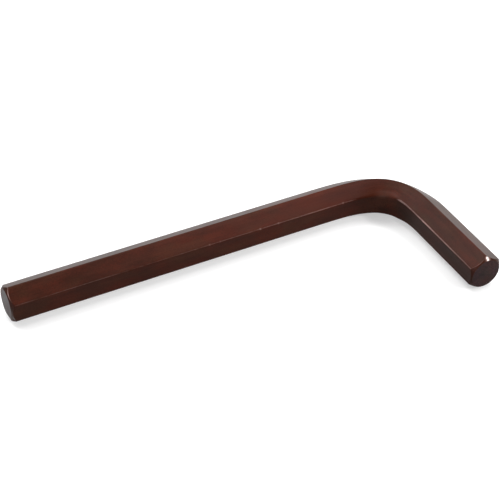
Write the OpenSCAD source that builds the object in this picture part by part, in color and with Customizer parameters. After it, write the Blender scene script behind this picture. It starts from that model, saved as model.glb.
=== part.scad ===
// Hex key: one hexagonal steel bar, bent once to a right angle and chamfered
// at both ends. The flats face the inside and the outside of the bend, so the
// key lies level on the lower corner of its section, with the plane of the
// bend horizontal. The origin is under the middle of the key, on the surface
// that it lies on. The long arm points to -X and the short arm to -Y.

/* [Bar] */
// Width of the hexagonal bar across its flats
flats_w = 8; // [7:0.5:9]
// Radius that rounds the six long edges of the bar
edge_r = 0.6; // [0.2:0.1:1]

/* [Arms] */
// Length of the long arm, from its end face to the outside of the bend
long_arm = 105.5; // [90:0.1:200]
// Length of the short arm, from its end face to the outside of the bend
short_arm = 42.9; // [36:0.1:80]
// Radius of the bend, measured to the middle of the bar
bend_r = 14.2; // [10:0.1:20]

/* [Ends] */
// How far the end chamfers reach in from the flats
chamfer_in = 0.26; // [0.1:0.01:0.6]
// Angle between a chamfer and its end face
chamfer_deg = 45; // [30:1:60]

/* [Hidden] */

// Facets of the round faces where they are drawn as a mesh
round_fn = 180;

// Angle at which a corner's circle crosses the flats beside it
cross_deg = 4;
// How far the corner circles' middles are from the middle of the bar
corner_at = (flats_w / 2 - edge_r * cos(cross_deg)) / cos(30);
// Half the height across the rounded corners
half_h = corner_at + edge_r;
// Half the width across the flats
half_w = flats_w / 2;
// Straight lengths of the two arms, beyond the bend
long_straight = long_arm - half_w - bend_r;
short_straight = short_arm - half_w - bend_r;
// Radius of the flat face left on each end
face_r = half_w - chamfer_in;
// Radius that clears the corners of the section
clear_r = flats_w;
// Middle of the bend's circle, from the origin
bend_x = long_arm / 2 - half_w - bend_r;
bend_y = short_arm / 2 - half_w - bend_r;

// Section of the bar, with flats to the left and right and corners up and
// down. Three bars across make the flats, six circles round the corners, and
// the hexagon around them all gives each circle a clean edge on its flats.
module section() {
    intersection() {
        rotate(30) circle(r = flats_w / sqrt(3), $fn = 6);
        union() {
            for (i = [0 : 2])
                rotate(60 * i) square([flats_w + 1, corner_at], center = true);
            for (i = [0 : 5])
                rotate(30 + 60 * i) translate([corner_at, 0])
                    circle(r = edge_r, $fn = 48);
        }
    }
}

// Straight length of bar from the origin along +Z, with a chamfered far end.
// The section's up and down corners point along Y.
module arm(len) {
    difference() {
        linear_extrude(len) section();
        // Cone that turns the corners down towards the end face
        rotate_extrude($fn = round_fn)
            polygon([[face_r, len + 1],
                     [face_r, len],
                     [clear_r, len - (clear_r - face_r) * tan(chamfer_deg)],
                     [clear_r, len + 1]]);
    }
}

// Quarter turn of bar round the Z axis, from +Y (long arm) to +X (short arm)
module bend() {
    rotate_extrude(angle = 90, $fn = round_fn)
        translate([bend_r, 0]) section();
}

// The whole key, one piece of steel
module hex_key() {
    color("#51322a")
    translate([bend_x, bend_y, half_h]) {
        bend();
        translate([bend_r, 0, 0]) rotate([90, 0, 0]) arm(short_straight);
        mirror([1, -1, 0])
            translate([bend_r, 0, 0]) rotate([90, 0, 0]) arm(long_straight);
    }
}

hex_key();
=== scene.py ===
import math

import bpy
import numpy as np
from mathutils import Matrix, Vector


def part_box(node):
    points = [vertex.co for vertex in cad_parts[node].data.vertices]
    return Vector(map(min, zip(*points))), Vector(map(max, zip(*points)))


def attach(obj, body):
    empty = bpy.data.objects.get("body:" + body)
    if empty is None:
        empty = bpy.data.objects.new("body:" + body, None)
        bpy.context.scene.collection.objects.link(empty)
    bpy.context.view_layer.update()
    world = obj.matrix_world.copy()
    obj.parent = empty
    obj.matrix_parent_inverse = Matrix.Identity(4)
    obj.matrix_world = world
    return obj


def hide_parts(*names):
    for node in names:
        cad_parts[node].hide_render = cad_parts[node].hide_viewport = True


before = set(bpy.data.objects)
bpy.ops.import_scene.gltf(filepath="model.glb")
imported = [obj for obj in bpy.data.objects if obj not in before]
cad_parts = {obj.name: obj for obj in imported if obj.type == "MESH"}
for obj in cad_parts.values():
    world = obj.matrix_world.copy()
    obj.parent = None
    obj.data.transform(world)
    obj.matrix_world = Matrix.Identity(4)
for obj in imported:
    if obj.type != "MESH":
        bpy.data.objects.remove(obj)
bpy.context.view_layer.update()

MM = 0.001

# ---------------------------------------------------------------------------
# Sizes of the bar, in millimetres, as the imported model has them. The model's
# box gives the lengths of the two arms.
# ---------------------------------------------------------------------------
(lo, hi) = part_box("hex_key")
FLATS = 8.0                       # across the flats
HALF = FLATS / 2
EDGE_R = 0.6                      # radius of the six long edges
CROSS = math.radians(4)           # angle at which a corner's circle meets the flats in the solid
CORNER_AT = (HALF - EDGE_R * math.cos(CROSS)) / math.cos(math.radians(30))
HALF_H = CORNER_AT + EDGE_R       # half the height over the rounded corners
FACE_R = HALF - 0.26              # radius of the flat end faces
AX_X = hi.x / MM - HALF           # the short arm's axis is at x = AX_X
AX_Y = hi.y / MM - HALF           # the long arm's axis is at y = AX_Y
AX_Z = HALF_H                     # both axes are this high
LONG_END = lo.x / MM              # x of the long arm's end face
SHORT_END = lo.y / MM             # y of the short arm's end face


# ---------------------------------------------------------------------------
# The bar's section, as points (p, q): p is outwards from the bend, q is up.
# Flats face +p and -p, edges 1 and 4 are at the top and the bottom, edges 2
# and 3 are the upper and the lower one on the inside of the bend.
# ---------------------------------------------------------------------------
ARC_N = 10                        # steps round each edge
FLAT_IN = 0.035                   # a line of points this far in from each edge keeps the flats flat
FLAT_N = 9                        # steps across each flat, between those lines


def corner_arc(a0, radius, shoulder, flip):
    """Points round one edge, between the two flats that meet in it. The shoulder eases it into one of the flats."""
    turn = np.linspace(0, math.radians(60), 601)
    r = radius + shoulder * np.exp(-(turn[::-1] if flip else turn) / math.radians(6))
    mid = (turn[1:] + turn[:-1]) / 2 + a0 + math.radians(60)
    d = (r[1:] + r[:-1]) / 2 * np.diff(turn)
    path = np.concatenate([[[0, 0]], np.cumsum(np.stack([np.cos(mid) * d, np.sin(mid) * d], 1), axis=0)])
    # The two flats' lines, through the sharp corner; both ends of the arc lie on them
    ua = np.array([math.cos(a0 + math.radians(60)), math.sin(a0 + math.radians(60))])
    ub = np.array([math.cos(a0 + math.radians(120)), math.sin(a0 + math.radians(120))])
    sharp = np.array([math.cos(a0), math.sin(a0)]) * HALF / math.cos(math.radians(30))
    back, _ = np.linalg.solve(np.stack([ua, ub], 1), path[-1])
    return sharp - back * ua + path[np.linspace(0, 600, ARC_N + 1).round().astype(int)]


def section_points(radii, shoulders=(0,) * 6, flips=(False,) * 6):
    pts, edge, number = [], [], []
    arcs = [corner_arc(math.radians(30 + 60 * i), radii[i], shoulders[i], flips[i]) for i in range(6)]
    for i in range(6):
        for j, p in enumerate(arcs[i]):
            pts.append(p)
            edge.append(1 - abs(2 * j / ARC_N - 1))
            number.append(i)
        a, b = arcs[i][-1], arcs[(i + 1) % 6][0]
        length = np.linalg.norm(b - a)
        ts = [FLAT_IN] + list(np.linspace(FLAT_IN, length - FLAT_IN, FLAT_N + 1)[1:-1]) + [length - FLAT_IN]
        for t in ts:
            pts.append(a + (b - a) * t / length)
            edge.append(0.0)
            number.append(i)
    return np.array(pts), np.array(edge), np.array(number)


# The upper outer edge is crisper than the rest
CRISP_R = 0.3
SEC, SEC_EDGE, SEC_NUMBER = section_points([CRISP_R] + [EDGE_R] * 5)
# In the tightest part of the bend the two inner edges have been pressed rounder
SEC_BENT = section_points([CRISP_R, EDGE_R, 0.75, 0.75, EDGE_R, EDGE_R], (0, 0, 5, 5, 0, 0), (False, False, False, True, False, False))[0]
SEC_R = np.hypot(SEC[:, 0], SEC[:, 1])
_d = np.hypot(*(np.roll(SEC, -1, axis=0) - SEC).T)
SEC_ROUND = np.concatenate([[0], np.cumsum(_d)[:-1]])  # distance round the section, in mm

# Small dents along the edges: edge, distance from the long arm's end, half length and depth in mm, and how bare
NICKS = [
    (2, 48.2, 0.22, 0.02, 0.28), (2, 51.0, 0.20, 0.02, 0.20), (2, 61.5, 0.26, 0.05, 0.45), (2, 66.4, 0.22, 0.03, 0.42),
    (2, 84.2, 0.22, 0.03, 0.42),
    (2, 113.9, 0.35, 0.03, 0.45), (2, 131.6, 0.26, 0.03, 0.30),
    (0, 20.0, 0.40, 0.05, 0.35), (0, 57.0, 0.30, 0.05, 0.30), (0, 127.0, 0.35, 0.05, 0.40), (5, 41.0, 0.30, 0.05, 0.35),
    (5, 96.0, 0.50, 0.05, 0.40), (3, 15.0, 0.30, 0.04, 0.30), (3, 86.0, 0.30, 0.04, 0.25), (3, 119.0, 0.40, 0.05, 0.40),
]
# How strongly each edge is worn bare, at distances in mm from the long arm's end. This is partly wear and partly a
# painted highlight: along the upper inner edge it follows how bright that edge's highlight shows, faint on the long
# arm, almost gone round the bend and bright on the short arm
EDGE_WEAR_AND_HIGHLIGHT = [
    [(0, 0.45), (70, 0.35), (100, 0.55), (150, 0.45)],
    [(0, 0.10), (150, 0.10)],
    [(0, 0.25), (62, 0.25), (68, 0.40), (86, 0.40), (89, 0.08), (93, 0.08), (96, 0.14), (102.4, 0.16), (103.4, 0.35), (105.0, 1.6), (107.2, 1.5), (109, 0.95), (110, 0.90), (113, 1.3), (118, 1.4), (121, 0.95), (126, 0.86), (129, 0.62), (150, 0.48)],
    [(0, 0.35), (86, 0.40), (92, 0.10), (103, 0.10), (108, 0.45), (150, 0.40)],
    [(0, 0.40), (150, 0.40)],
    [(0, 0.40), (75, 0.45), (98, 0.60), (150, 0.45)],
]

# ---------------------------------------------------------------------------
# The middle line of the bend. A bar bent over a former takes its turn most
# tightly in the middle and eases off towards both arms, a little sooner
# towards the short one.
# ---------------------------------------------------------------------------
BEND_LEN = 34.0                   # length of bar that the bend takes up
BEND_PEAK = 0.60                  # how much tighter the middle is
BEND_SKEW = -0.615                # how far the tight part sits towards the short arm
BEND_EASE = 0.25                  # part of the bend, at each end, over which it sets in
THIN_HIGH = 0.46                  # how far the section narrows outside, in height
WIDE_HIGH = 0.62                  # how far it widens inside
THIN_THICK = 0.711                # how far the flats give way towards the inside


def smooth(t):
    t = np.clip(t, 0, 1)
    return t * t * (3 - 2 * t)


def bend_line(step):
    """Points (x, y) from the start of the bend to its end, with the way the bar has turned and its curvature in 1/mm."""
    g = np.linspace(0, 1, 2001)
    k = (1 - BEND_PEAK * np.cos(2 * np.pi * g) + BEND_SKEW * np.sin(2 * np.pi * g))
    k = np.clip(k, 0, None) * smooth(g / BEND_EASE) * smooth((1 - g) / BEND_EASE)
    turn = np.concatenate([[0], np.cumsum((k[1:] + k[:-1]) / 2 * np.diff(g))])
    k = k / turn[-1] * (math.pi / 2) / BEND_LEN
    turn = turn / turn[-1] * math.pi / 2
    x = np.concatenate([[0], np.cumsum((np.cos(turn[1:]) + np.cos(turn[:-1])) / 2 * np.diff(g))]) * BEND_LEN
    y = -np.concatenate([[0], np.cumsum((np.sin(turn[1:]) + np.sin(turn[:-1])) / 2 * np.diff(g))]) * BEND_LEN
    n = int(round(BEND_LEN / step))
    i = np.linspace(0, 2000, n + 1).round().astype(int)
    return x[i] - x[-1], y[i], turn[i], k[i], x[-1], -y[-1]


STEP = 0.25
bx, by, bturn, bk, T_LONG, T_SHORT = bend_line(STEP)

# Stations along the bar, outside the two ends' own rings
END_CLEAR = 1.25
LONG_A = LONG_END - AX_X + END_CLEAR          # from the corner of the two axes
SHORT_A = SHORT_END - AX_Y + END_CLEAR
n1 = int(round((-T_LONG - LONG_A) / STEP))
n2 = int(round((-T_SHORT - SHORT_A) / STEP))
x1 = np.linspace(LONG_A, -T_LONG, n1 + 1)[:-1]
y2 = np.linspace(-T_SHORT, SHORT_A, n2 + 1)[1:]
ST_X = np.concatenate([x1, bx, 0 * y2])
ST_Y = np.concatenate([0 * x1, by, y2])
ST_T = np.concatenate([0 * x1, bturn, 0 * y2 + math.pi / 2])
ST_K = np.concatenate([0 * x1, bk, 0 * y2])
ST_S = np.concatenate([[0], np.cumsum(np.hypot(np.diff(ST_X), np.diff(ST_Y)))]) + END_CLEAR

# How much the former has blunted the inner edges at each station, from 0 to 1, and the section there
BLUNT = smooth((ST_S - 91.0) / 5.0) * smooth((104.5 - ST_S) / 3.5)
sec = SEC[None] + BLUNT[:, None, None] * (SEC_BENT - SEC)[None]
nick = np.zeros((len(ST_S), len(SEC)))
for number, at, half, depth, bare in NICKS:
    w = np.exp(-((ST_S - at) / half) ** 2)[:, None] * (SEC_EDGE * (SEC_NUMBER == number))[None]
    sec = sec * (1 - depth * w / SEC_R[None])[..., None]
    nick = np.maximum(nick, w * bare)
p, q = sec[..., 0], sec[..., 1]
pp = p - THIN_THICK * ST_K[:, None] / 2 * p ** 2
qq = q * (1 - np.where(p > -0.12, THIN_HIGH, WIDE_HIGH) * ST_K[:, None] * (p + 0.12))
out_x, out_y = np.sin(ST_T)[:, None], np.cos(ST_T)[:, None]
body = np.stack([ST_X[:, None] + out_x * pp, ST_Y[:, None] + out_y * pp, qq], -1)

# ---------------------------------------------------------------------------
# The two ends: a 45 degree chamfer turned round the bar, with softly broken
# edges, and a round flat face.
# ---------------------------------------------------------------------------
BREAK_SIDE = 0.18                 # radius where the chamfer meets the flats
ROLL_R = 0.12                     # radius where it meets the end face, which then eases into the flat
ROLL_FLAT = 0.4                   # radius added at the very start of the flat
ROLL_EASE = math.radians(5)       # angle over which that fades
SET_IN = 0.50                     # how much further in the flat starts where the end has been hammered

# How worn each ring is, from the side to the middle of the face, and how much of the face it belongs to
WEAR = [0] * 4 + [0.15, 0.3, 0.4, 0.35, 0.2] + [0.05] * 3 + [0] * 18
FACE = [0] * 12 + [0, 0, 0, 0, 0.1, 0.2, 0.3, 0.45, 0.6, 0.75, 0.9] + [1] * 7


def arc(centre, radius, a0, a1, n):
    return [(centre[0] + radius * math.cos(a), centre[1] + radius * math.sin(a))
            for a in np.linspace(a0, a1, n + 1)]


def rolled_edge():
    """Points (depth, distance from the axis) from the chamfer to the flat of the end face."""
    psi = np.linspace(math.radians(45), 0, 901)
    radius = ROLL_R + ROLL_FLAT * np.exp(-psi / ROLL_EASE)
    step = radius[1:] * math.radians(45) / 900
    mid = (psi[1:] + psi[:-1]) / 2
    z = np.concatenate([[0], np.cumsum(np.sin(mid) * step)])
    rho = np.concatenate([[0], np.cumsum(np.cos(mid) * step)])
    i = [int(900 * f) for f in (0, 0.14, 0.28, 0.42, 0.56, 0.68, 0.78, 0.86, 0.92, 0.96, 1.0)]
    return [(z[-1] - z[j], FACE_R + z[-1] - rho[j]) for j in i]


ROLLED = rolled_edge()


def end_profile(r, over):
    """Points (depth from the end face, distance from the axis) along one line of the section, from the side to the face."""
    z0 = r - FACE_R
    t = math.tan(math.radians(22.5))
    side = arc((z0 + BREAK_SIDE * t, r - BREAK_SIDE), BREAK_SIDE, math.radians(90), math.radians(135), 4)
    first = side[0][0]
    lead = [(first + (END_CLEAR - first) * f, r) for f in (0.8, 0.55, 0.3, 0.12)]
    mid = [tuple(np.array(side[-1]) * (1 - f) + np.array(ROLLED[0]) * f) for f in (0.25, 0.5, 0.75)]
    slope = [(z, rho - SET_IN * over * (1 - z / side[-1][0])) for z, rho in mid + ROLLED]
    inner = [(0.0, slope[-1][1] * f) for f in (0.94, 0.84, 0.71, 0.57, 0.43, 0.28, 0.14)]
    return lead + side + slope + inner, WEAR


def end_rings(base, along, outward, over):
    """Rings from just past the last station to the middle of the end face. base is the end face's middle, along points into the bar."""
    prof = [end_profile(r, o) for r, o in zip(SEC_R, over)]
    rings, wear = [], []
    for k in range(len(prof[0][0])):
        z = np.array([pr[0][k][0] for pr in prof])
        rho = np.array([pr[0][k][1] for pr in prof])
        s = SEC * (rho / SEC_R)[:, None]
        rings.append(np.stack([base[0] + along[0] * z + outward[0] * s[:, 0],
                               base[1] + along[1] * z + outward[1] * s[:, 0], s[:, 1]], -1))
        wear.append(prof[0][1][k])
    return rings, wear


# The long end has been hammered over a little on its inner side
AROUND = np.degrees(np.arctan2(SEC[:, 1], SEC[:, 0])) % 360
hammered = smooth((0.15 + np.cos(np.radians(AROUND - 208))) / 0.8)
long_rings, end_wear = end_rings((LONG_END - AX_X, 0), (1, 0), (0, 1), hammered)
short_rings, _ = end_rings((0, SHORT_END - AX_Y), (0, 1), (1, 0), 0 * hammered)
# First ring of chamfer, so that the finish can tell the ends from the sides
END_K = 6

rings = long_rings[::-1] + list(body) + short_rings
NS, NR, NE = len(SEC), len(rings), len(long_rings)
verts = np.concatenate(rings)

# Where each point is along the bar, for the finish: distance along the bar and round it
total = ST_S[-1] + END_CLEAR
s_along = np.concatenate([np.linspace(0, END_CLEAR, NE, endpoint=False), ST_S,
                          np.linspace(ST_S[-1], total, NE + 1)[1:]])
wear_ring = np.concatenate([np.array(end_wear[::-1]), np.zeros(len(body)), np.array(end_wear)])
tip_ring = np.concatenate([(np.arange(NE)[::-1] >= END_K), np.zeros(len(body)), (np.arange(NE) >= END_K)])
face_ring = np.concatenate([FACE[::-1], np.zeros(len(body)), FACE])
edge_wear_and_highlight = np.array([np.interp(s_along, *zip(*EDGE_WEAR_AND_HIGHLIGHT[number])) for number in range(6)])
edge_all = SEC_EDGE[None] ** 1.3 * edge_wear_and_highlight[SEC_NUMBER].T * (1 - tip_ring)[:, None]
nicks_and_painted_highlights = np.zeros((NR, NS))
nicks_and_painted_highlights[NE:NE + len(body)] = nick
# Wear that is partly a painted highlight: the long end's rim is brightest at the upper inner flat, and the short end's
# chamfer has a pale bare spot at its upper corner


def near(angle, width):
    d = (AROUND - angle + 180) % 360 - 180
    return np.exp(-(d / width) ** 2)


rim = np.tile(wear_ring[:, None], NS)
rim[:NE] *= (0.4 + 2.6 * near(110, 16))[None]
rim[-NE:] *= (0.35 + 0.9 * near(126, 22))[None]
chamfer_ring = np.array([0] * 5 + [0.1, 0.3, 0.6, 0.9, 1.0, 1.0, 1.0, 1.0, 1.0, 1.0, 1.0, 1.0, 0.8, 0.5, 0.2, 0, 0, 0] + [0] * 7)
nicks_and_painted_highlights[-NE:] = 0.64 * chamfer_ring[:, None] * np.minimum(1.0, 1.5 * near(87, 6.0))[None]

verts = verts + np.array([AX_X, AX_Y, AX_Z])

# Faces
faces = []
idx = np.arange(NS)
nxt = (idx + 1) % NS
for r in range(NR - 1):
    a, b = r * NS, (r + 1) * NS
    faces.append(np.stack([a + idx, a + nxt, b + nxt, b + idx], 1))
quads = np.concatenate(faces).tolist()
n_all = len(verts)
caps = np.array([[LONG_END, AX_Y, AX_Z], [AX_X, SHORT_END, AX_Z]])
all_verts = np.concatenate([verts, caps])
tris = [[n_all, int(j), int(i)] for i, j in zip(idx, nxt)]
last = (NR - 1) * NS
tris += [[n_all + 1, last + int(i), last + int(j)] for i, j in zip(idx, nxt)]

mesh = bpy.data.meshes.new("hex_key_bar")
mesh.from_pydata((all_verts * MM).tolist(), [], quads + tris)
mesh.update()
mesh.validate()
mesh.shade_smooth()

attr = mesh.attributes.new("bar", "FLOAT_VECTOR", "POINT")
vals = np.zeros((len(all_verts), 3), np.float32)
vals[:n_all, 0] = np.repeat(s_along, NS) * MM
vals[:n_all, 1] = np.tile(SEC_ROUND, NR) * MM
vals[n_all + 1, 0] = total * MM
attr.data.foreach_set("vector", vals.ravel())


def scalar(name, values, cap):
    at = mesh.attributes.new(name, "FLOAT", "POINT")
    v = np.full(len(all_verts), cap, np.float32)
    v[:n_all] = values
    at.data.foreach_set("value", v)


scalar("edge", np.maximum(edge_all, rim).ravel(), 0.0)
# Painted light and shade along the bar: lighter in the middle of the long arm and on the short arm, darker towards the
# long end and in the bend
shade = np.interp(s_along, [0, 24, 40, 60, 76, 84, 90, 97, 103, 120, 150], [0.93, 0.94, 0.99, 1.11, 1.12, 1.04, 0.87, 0.92, 1.06, 1.10, 1.0])
shade_all = np.tile(shade[:, None], NS)
# Painted shade: darker on the inner side flat, most of all round the bend and on the short arm. A painted highlight,
# lighter and with a little bare metal, on the upper part of that flat and along the upper inner edge where the former
# pressed the bend
inner_flat_painted_shade = np.interp(s_along, [0, 30, 50, 70, 80, 90, 95, 103, 108, 116, 130, 150], [1.03, 1.0, 0.96, 0.98, 0.84, 0.70, 0.93, 0.98, 0.62, 0.66, 0.74, 0.74])
shade_all *= np.where(((SEC_NUMBER == 2) & (SEC_EDGE == 0))[None], inner_flat_painted_shade[:, None], 1.0)
pressed = (smooth((s_along - 93.0) / 4.0) * smooth((105.0 - s_along) / 4.0))[:, None]
shade_all *= 1 + 0.40 * pressed * near(166, 18)[None]
nicks_and_painted_highlights = np.maximum(nicks_and_painted_highlights, 0.035 * pressed * near(147, 6)[None])
# Painted highlight: a little lighter where the upper inner flat comes up to the top edge
shade_all *= 1 + 0.16 * (smooth((s_along - 26.0) / 10.0) * smooth((90.0 - s_along) / 8.0))[:, None] * near(95, 7)[None]
# and darker towards the lower side of that flat, in the middle of the long arm
shade_all *= 1 - 0.10 * (smooth((s_along - 58.0) / 14.0) * smooth((96.0 - s_along) / 6.0))[:, None] * near(142, 12)[None]
# The brown is warmer in the middle of the long arm, towards the lower side of that flat
warm_along = np.interp(s_along, [0, 25, 38, 52, 67, 76, 86, 94, 98, 150], [0, 0, 0.20, 0.35, 0.32, 0.55, 0.58, 0.35, 0, 0])
warm_across = np.interp(AROUND, [0, 85, 92, 105, 120, 140, 150, 158, 205, 215, 360], [0, 0, 0.3, 0.8, 1.0, 1.1, 1.15, 0.25, 0.2, 0, 0])
scalar("shade", shade_all.ravel(), 1.0)
# bare dents, and the bare spots that paint highlights at the short end's chamfer corner and round the pressed bend
scalar("nick", nicks_and_painted_highlights.ravel(), 0.0)
# and duller, less red, on the outer flat along the top
scalar("dull", np.tile(((SEC_NUMBER == 0) & (SEC_EDGE == 0))[None] * 0.40, (NR, 1)).ravel(), 0.0)
scalar("warm", np.clip(warm_along[:, None] * warm_across[None], 0, 1).ravel(), 0.0)
face_all = np.tile(face_ring[:, None], NS)
face_all[:NE] = face_all[:NE] ** (1 + 3 * hammered)[None]
scalar("face", face_all.ravel(), 1.0)

bar = bpy.data.objects.new("hex_key_bar", mesh)
bpy.context.scene.collection.objects.link(bar)
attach(bar, "root")
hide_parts("hex_key")


# ---------------------------------------------------------------------------
# Materials
# ---------------------------------------------------------------------------
class Nodes:
    """A short way to write a node tree."""

    def __init__(self, name):
        self.mat = bpy.data.materials.new(name)
        self.mat.use_nodes = True
        self.tree = self.mat.node_tree
        self.tree.nodes.clear()

    def add(self, kind, **settings):
        n = self.tree.nodes.new(kind)
        for k, v in settings.items():
            setattr(n, k, v)
        return n

    def link(self, a, b):
        self.tree.links.new(a, b)

    def put(self, node, socket, value):
        s = node.inputs[socket]
        if hasattr(value, "is_output"):
            self.link(value, s)
        else:
            s.default_value = value

    def attribute(self, name, out="Fac"):
        return self.add("ShaderNodeAttribute", attribute_name=name).outputs[out]

    def noise(self, vector, scale, detail=2.0, rough=0.5, out="Fac"):
        n = self.add("ShaderNodeTexNoise")
        self.put(n, "Vector", vector)
        n.inputs["Scale"].default_value = scale
        n.inputs["Detail"].default_value = detail
        n.inputs["Roughness"].default_value = rough
        return n.outputs[out]

    def streaked(self, place, along, face, scale, stretch):
        """Patches drawn out along the bar, and round ones on the end faces."""
        drawn = self.noise(self.scaled(along, scale * stretch, scale, 1.0), 1.0)
        plain = self.noise(place, scale)
        return self.math("ADD", self.math("MULTIPLY", drawn, self.math("SUBTRACT", 1.0, face)), self.math("MULTIPLY", plain, face))

    def math(self, op, a, b=0.0, clamp=False):
        n = self.add("ShaderNodeMath", operation=op, use_clamp=clamp)
        self.put(n, 0, a)
        self.put(n, 1, b)
        return n.outputs[0]

    def scaled(self, vector, x, y, z):
        n = self.add("ShaderNodeVectorMath", operation="MULTIPLY")
        self.link(vector, n.inputs[0])
        n.inputs[1].default_value = (x, y, z)
        return n.outputs[0]

    def shifted(self, vector, x, y, z):
        n = self.add("ShaderNodeVectorMath", operation="ADD")
        self.link(vector, n.inputs[0])
        n.inputs[1].default_value = (x, y, z)
        return n.outputs[0]

    def remap(self, value, a, b, c=0.0, d=1.0, kind="SMOOTHSTEP"):
        n = self.add("ShaderNodeMapRange", interpolation_type=kind)
        self.put(n, "Value", value)
        for k, v in (("From Min", a), ("From Max", b), ("To Min", c), ("To Max", d)):
            self.put(n, k, v)
        return n.outputs[0]

    def mix(self, fac, a, b):
        n = self.add("ShaderNodeMix", data_type="RGBA")
        self.put(n, 0, fac)
        for i, v in ((6, a), (7, b)):
            if hasattr(v, "is_output"):
                self.link(v, n.inputs[i])
            else:
                n.inputs[i].default_value = (*v, 1.0)
        return n.outputs[2]


def oxide_steel():
    m = Nodes("oxide_steel")
    place = m.add("ShaderNodeTexCoord").outputs["Object"]
    along = m.attribute("bar", "Vector")
    edge = m.attribute("edge")
    face = m.attribute("face")

    # Slow drifts of the brown, blotches a few millimetres across, and fine grain
    drift = m.noise(place, 28.0, 1.0, 0.5)
    blotch = m.streaked(place, along, face, 330.0, 0.40)
    olive = m.streaked(m.shifted(place, 0.37, 0.11, 0.53), m.shifted(along, 0.37, 0.11, 0.53), face, 260.0, 0.40)
    grain = m.noise(place, 2600.0, 2.0, 0.6)
    # Lines left by drawing the bar, along its length
    drawn = m.noise(m.scaled(along, 60.0, 2600.0, 1.0), 1.0, 3.0, 0.6)

    brown = m.mix(m.remap(blotch, 0.36, 0.64), (0.0350, 0.0098, 0.0055), (0.0505, 0.0105, 0.0053))
    brown = m.mix(m.remap(olive, 0.46, 0.64, 0.0, 0.8), brown, (0.0400, 0.0142, 0.0072))
    brown = m.mix(m.remap(drift, 0.35, 0.65, 0.0, 0.30), brown, (0.0310, 0.0080, 0.0045))
    brown = m.mix(m.remap(grain, 0.38, 0.66, 0.0, 0.50), brown, (0.0230, 0.0070, 0.0040))
    brown = m.mix(m.remap(drawn, 0.45, 0.75, 0.0, 0.22), brown, (0.0620, 0.0200, 0.0130))
    tint = m.noise(m.shifted(place, 0.71, 0.29, 0.13), 420.0, 2.0, 0.5)
    tips = m.mix(m.remap(tint, 0.34, 0.66), (0.0300, 0.0128, 0.0155), (0.0275, 0.0150, 0.0125))
    tips = m.mix(m.remap(blotch, 0.35, 0.70, 0.0, 0.7), tips, (0.0360, 0.0110, 0.0090))
    tips = m.mix(m.remap(grain, 0.40, 0.62, 0.0, 0.65), tips, (0.0130, 0.0062, 0.0062))
    brown = m.mix(m.attribute("warm"), brown, (0.0430, 0.0050, 0.0008))
    brown = m.mix(m.attribute("dull"), brown, (0.0200, 0.0115, 0.0080))
    brown = m.mix(face, brown, tips)
    # Painted light and shade from the shade attribute: lighter and darker along the bar and round the bend, with
    # painted highlights, times a random mottle
    shade = m.add("ShaderNodeVectorMath", operation="SCALE")
    m.link(brown, shade.inputs[0])
    mottle = m.streaked(m.shifted(place, 0.19, 0.47, 0.31), m.shifted(along, 0.19, 0.47, 0.31), face, 420.0, 0.28)
    m.link(m.math("MULTIPLY", m.attribute("shade"), m.remap(mottle, 0.32, 0.68, 0.88, 1.12)), shade.inputs["Scale"])
    brown = shade.outputs[0]

    # Where the finish has worn through: a thin line along the edges, and the dents. Its strength is partly a painted
    # highlight, set to how bright the edges and chamfer spots show
    ragged = m.noise(place, 1100.0, 3.0, 0.6)
    patchy = m.noise(place, 90.0, 2.0, 0.5)
    rub = m.math("MULTIPLY", edge, m.remap(patchy, 0.30, 0.70, 0.70, 1.10))
    rub = m.math("ADD", rub, m.math("MULTIPLY", m.math("SUBTRACT", ragged, 0.5), 0.20))
    worn = m.remap(rub, 0.12, 1.00, 0.0, 1.0, "LINEAR")
    worn = m.math("MAXIMUM", worn, m.attribute("nick"), clamp=True)
    steel = m.mix(m.remap(grain, 0.3, 0.7), (0.38, 0.245, 0.225), (0.52, 0.345, 0.315))
    # The strongest bare spots turn a pale neutral grey, a painted highlight in part, as at the short end's chamfer
    # corner
    steel = m.mix(m.remap(m.attribute("nick"), 0.38, 0.58), steel, (0.56, 0.53, 0.51))
    colour = m.mix(m.math("MULTIPLY", worn, 0.75), brown, steel)

    metal = m.math("MAXIMUM", m.math("MULTIPLY", worn, 0.75), m.math("MULTIPLY", face, 0.10), clamp=True)

    rough = m.remap(m.math("ADD", m.math("MULTIPLY", blotch, 0.5), m.math("MULTIPLY", drawn, 0.5)), 0.3, 0.7, 0.28, 0.38, "LINEAR")
    rough = m.math("ADD", rough, m.math("MULTIPLY", face, 0.06))

    height = m.math("ADD", m.math("MULTIPLY", grain, 0.5), m.math("MULTIPLY", drawn, 0.5))
    bump = m.add("ShaderNodeBump")
    bump.inputs["Strength"].default_value = 0.35
    bump.inputs["Distance"].default_value = 0.00002
    m.link(height, bump.inputs["Height"])

    bsdf = m.add("ShaderNodeBsdfPrincipled")
    m.link(colour, bsdf.inputs["Base Color"])
    m.link(metal, bsdf.inputs["Metallic"])
    m.link(rough, bsdf.inputs["Roughness"])
    m.link(bump.outputs["Normal"], bsdf.inputs["Normal"])
    bsdf.inputs["IOR"].default_value = 1.5
    bsdf.inputs["Specular IOR Level"].default_value = 0.05
    out = m.add("ShaderNodeOutputMaterial")
    m.link(bsdf.outputs["BSDF"], out.inputs["Surface"])
    return m.mat


bar.data.materials.append(oxide_steel())
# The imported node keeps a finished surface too, though the bar above stands for it
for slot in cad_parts["hex_key"].material_slots:
    slot.material = bar.data.materials[0]

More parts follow.
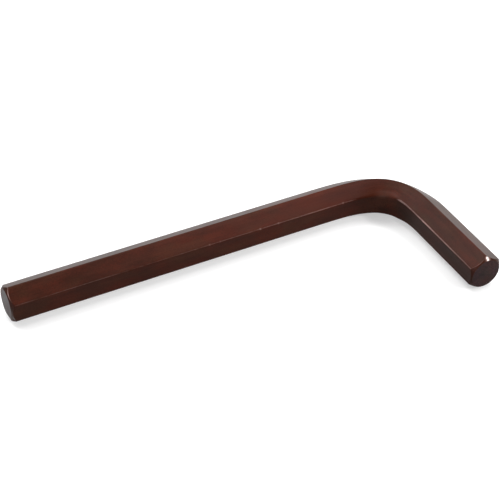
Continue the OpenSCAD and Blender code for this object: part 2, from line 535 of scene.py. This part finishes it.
# ---------------------------------------------------------------------------
# Floor, light and camera
# ---------------------------------------------------------------------------
scene = bpy.context.scene
floor_mesh = bpy.data.meshes.new("floor")
F = 3.0
floor_mesh.from_pydata([(-F, -F, 0), (F, -F, 0), (F, F, 0), (-F, F, 0)], [], [(0, 1, 2, 3)])
floor = bpy.data.objects.new("floor", floor_mesh)
scene.collection.objects.link(floor)
fm = Nodes("floor")
fb = fm.add("ShaderNodeBsdfPrincipled")
fb.inputs["Base Color"].default_value = (0.60, 0.60, 0.60, 1)
fb.inputs["Emission Color"].default_value = (1, 1, 1, 1)
fb.inputs["Emission Strength"].default_value = 0.45
fb.inputs["Roughness"].default_value = 0.9
fb.inputs["Specular IOR Level"].default_value = 0.0
fo = fm.add("ShaderNodeOutputMaterial")
fm.link(fb.outputs["BSDF"], fo.inputs["Surface"])
floor.data.materials.append(fm.mat)
floor.location.z = -0.00001
# Light that the floor throws back is kept off the bar, as a dark cloth under it would; its reflection stays
floor.visible_diffuse = False

# A pale wall far behind, all the way round, that lower views end in; it sheds no light on the bar
WALL_R, WALL_H, WALL_N = 2.9, 3.0, 64
wall_mesh = bpy.data.meshes.new("backdrop")
ring = [(WALL_R * math.cos(2 * math.pi * k / WALL_N), WALL_R * math.sin(2 * math.pi * k / WALL_N)) for k in range(WALL_N)]
wall_mesh.from_pydata([(x, y, z) for z in (0.0, WALL_H) for x, y in ring], [],
                      [((k + 1) % WALL_N, k, WALL_N + k, WALL_N + (k + 1) % WALL_N) for k in range(WALL_N)])
wall = bpy.data.objects.new("backdrop", wall_mesh)
scene.collection.objects.link(wall)
wm = Nodes("backdrop")
wb = wm.add("ShaderNodeEmission")
wb.inputs["Color"].default_value = (1, 1, 1, 1)
wb.inputs["Strength"].default_value = 0.47
wo = wm.add("ShaderNodeOutputMaterial")
wm.link(wb.outputs["Emission"], wo.inputs["Surface"])
wall.data.materials.append(wm.mat)
wall.visible_diffuse = False
wall.visible_glossy = False
wall.visible_transmission = False
wall.visible_shadow = False


def area(name, direction, distance, size, power, target=(0.0, 0.0, 0.0)):
    """A soft square light that faces the target from the given direction."""
    d = Vector(direction).normalized()
    light = bpy.data.lights.new(name, "AREA")
    light.shape = "RECTANGLE"
    light.size, light.size_y = size
    light.energy = power
    ob = bpy.data.objects.new(name, light)
    ob.matrix_world = Matrix.Translation(Vector(target) + d * distance) @ d.to_track_quat("Z", "Y").to_matrix().to_4x4()
    scene.collection.objects.link(ob)
    return ob


def towards(elevation, azimuth):
    e, a = math.radians(elevation), math.radians(azimuth)
    return (math.cos(e) * math.cos(a), math.cos(e) * math.sin(a), math.sin(e))


area("back_left_light", towards(58, 120), 1.0, (0.5, 0.5), 6.4)
area("right_light", towards(58, 0), 1.0, (0.5, 0.5), 5.65)
area("back_light", towards(58, 60), 1.0, (0.5, 0.5), 2.8)
area("low_back_light", towards(32, 80), 1.0, (0.5, 0.5), 2.5)
area("front_right_light", towards(32, 315), 1.0, (0.5, 0.5), 2.6)
area("front_left_light", towards(32, 228), 1.0, (0.5, 0.5), 1.1)
area("low_right_light", towards(8, 30), 1.0, (0.5, 0.5), 3.2)
area("low_front_light", towards(8, 240), 1.0, (0.5, 0.5), 4.6)
area("low_front_right_light", towards(8, 300), 1.0, (0.5, 0.5), 0.66)
# Small lamps that catch the edges
area("key_lamp", towards(33, 309), 1.0, (0.12, 0.12), 3.3)
area("rim_lamp", towards(20, 139), 1.0, (0.22, 0.16), 1.0)
area("bend_lamp", towards(64, 235), 1.0, (0.40, 0.40), 0.2)
area("left_lamp", towards(50, 168), 1.0, (0.14, 0.14), 0.4)

world = bpy.data.worlds.new("soft_light")
world.use_nodes = True
scene.world = world
wt = world.node_tree
wt.nodes["Background"].inputs["Color"].default_value = (1, 1, 1, 1)
wt.nodes["Background"].inputs["Strength"].default_value = 0.03

scene.view_settings.view_transform = "Standard"
scene.view_settings.look = "None"
scene.view_settings.exposure = 0.0
scene.view_settings.gamma = 1.0

cam_data = bpy.data.cameras.new("camera")
cam_data.sensor_width = 36.0
cam_data.lens = 93.69
cam_data.clip_start = 0.01
cam_data.clip_end = 20.0
cam = bpy.data.objects.new("camera", cam_data)
right = Vector((0.884283, -0.466533, 0.019762))
down = Vector((-0.282563, -0.568314, -0.772773))
ahead = Vector((0.371755, 0.677766, -0.634375))
rot = Matrix((right, -down, -ahead)).transposed().to_4x4()
cam.matrix_world = Matrix.Translation((-0.108567, -0.195543, 0.197075)) @ rot
scene.collection.objects.link(cam)
scene.camera = cam
